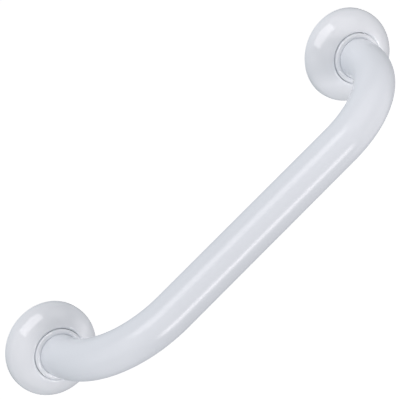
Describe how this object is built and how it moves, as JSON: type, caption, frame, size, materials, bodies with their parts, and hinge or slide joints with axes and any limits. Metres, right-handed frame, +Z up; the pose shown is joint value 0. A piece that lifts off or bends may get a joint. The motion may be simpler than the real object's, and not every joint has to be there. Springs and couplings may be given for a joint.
{
  "type": "grab bar",
  "caption": "Wall-mounted grab bar: a round white tube bent towards the wall at its ends, on screw plates hidden by domed clip-on covers with rounded collars.",
  "frame": {"origin": "on the wall plane, half-way between the centres of the plates", "axes": "+X along the bar, +Y into the wall, so the bar stands off towards -Y, +Z up"},
  "size_m": [0.435, 0.12, 0.08],
  "materials": {
    "tube_coating": "smooth glossy white coating on steel",
    "plate_steel": "zinc-plated steel",
    "cover_plastic": "glossy moulded white plastic",
    "collar_plastic": "glossy moulded white plastic"
  },
  "bodies": {
    "root": {"grab_tube": "tube_coating", "left_mounting_plate": "plate_steel", "right_mounting_plate": "plate_steel", "left_cover": "cover_plastic", "right_cover": "cover_plastic", "left_collar": "collar_plastic", "right_collar": "collar_plastic"}
  },
  "joints": []
}
